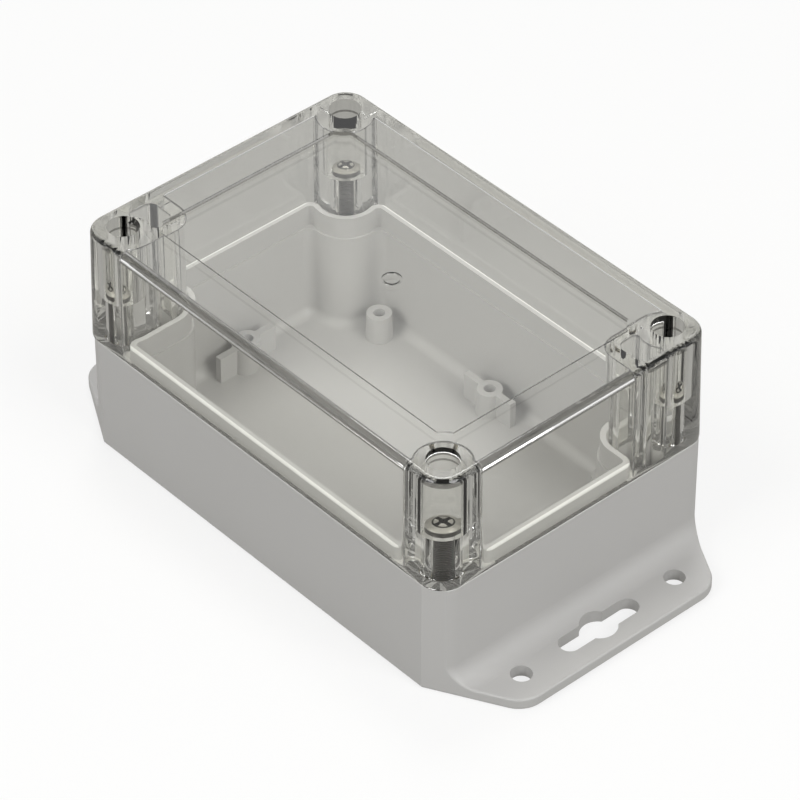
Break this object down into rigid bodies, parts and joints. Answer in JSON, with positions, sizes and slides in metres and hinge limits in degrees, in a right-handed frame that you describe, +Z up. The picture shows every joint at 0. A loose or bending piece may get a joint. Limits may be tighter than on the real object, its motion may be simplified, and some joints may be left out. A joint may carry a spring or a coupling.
{
  "type": "flanged electronics enclosure",
  "caption": "Rectangular polycarbonate enclosure: grey base with end mounting flanges, clear cover held by recessed corner screws, sealed by a gasket round an inner lip.",
  "frame": {"origin": "centre of the underside of the box, on the surface it is fixed to", "axes": "+Z up through the cover, +X along the box's length to one flange, +Y across the box"},
  "size_m": [0.15, 0.08, 0.06],
  "materials": {
    "grey_polycarbonate": "fine moulded texture, light grey",
    "clear_polycarbonate": "clear, polished mould",
    "silicone": "smooth moulded silicone",
    "stainless_steel": "turned and cold-headed",
    "brass": "turned brass"
  },
  "bodies": {
    "base": {"base": "grey_polycarbonate", "gasket": "silicone", "threaded_insert_1": "brass", "threaded_insert_2": "brass", "threaded_insert_3": "brass", "threaded_insert_4": "brass"},
    "cover": {"cover": "clear_polycarbonate"},
    "screw_1": {"cover_screw_1": "stainless_steel"},
    "screw_2": {"cover_screw_2": "stainless_steel"},
    "screw_3": {"cover_screw_3": "stainless_steel"},
    "screw_4": {"cover_screw_4": "stainless_steel"}
  },
  "joints": [
    {"name": "cover_lift", "type": "slide", "parent": "base", "child": "cover", "axis": [0, 0, 1], "range_m": [0, 0.08]},
    {"name": "screw_1_out", "type": "slide", "parent": "cover", "child": "screw_1", "axis": [0, 0, 1], "range_m": [0, 0.0085]},
    {"name": "screw_2_out", "type": "slide", "parent": "cover", "child": "screw_2", "axis": [0, 0, 1], "range_m": [0, 0.0085]},
    {"name": "screw_3_out", "type": "slide", "parent": "cover", "child": "screw_3", "axis": [0, 0, 1], "range_m": [0, 0.0085]},
    {"name": "screw_4_out", "type": "slide", "parent": "cover", "child": "screw_4", "axis": [0, 0, 1], "range_m": [0, 0.0085]}
  ]
}
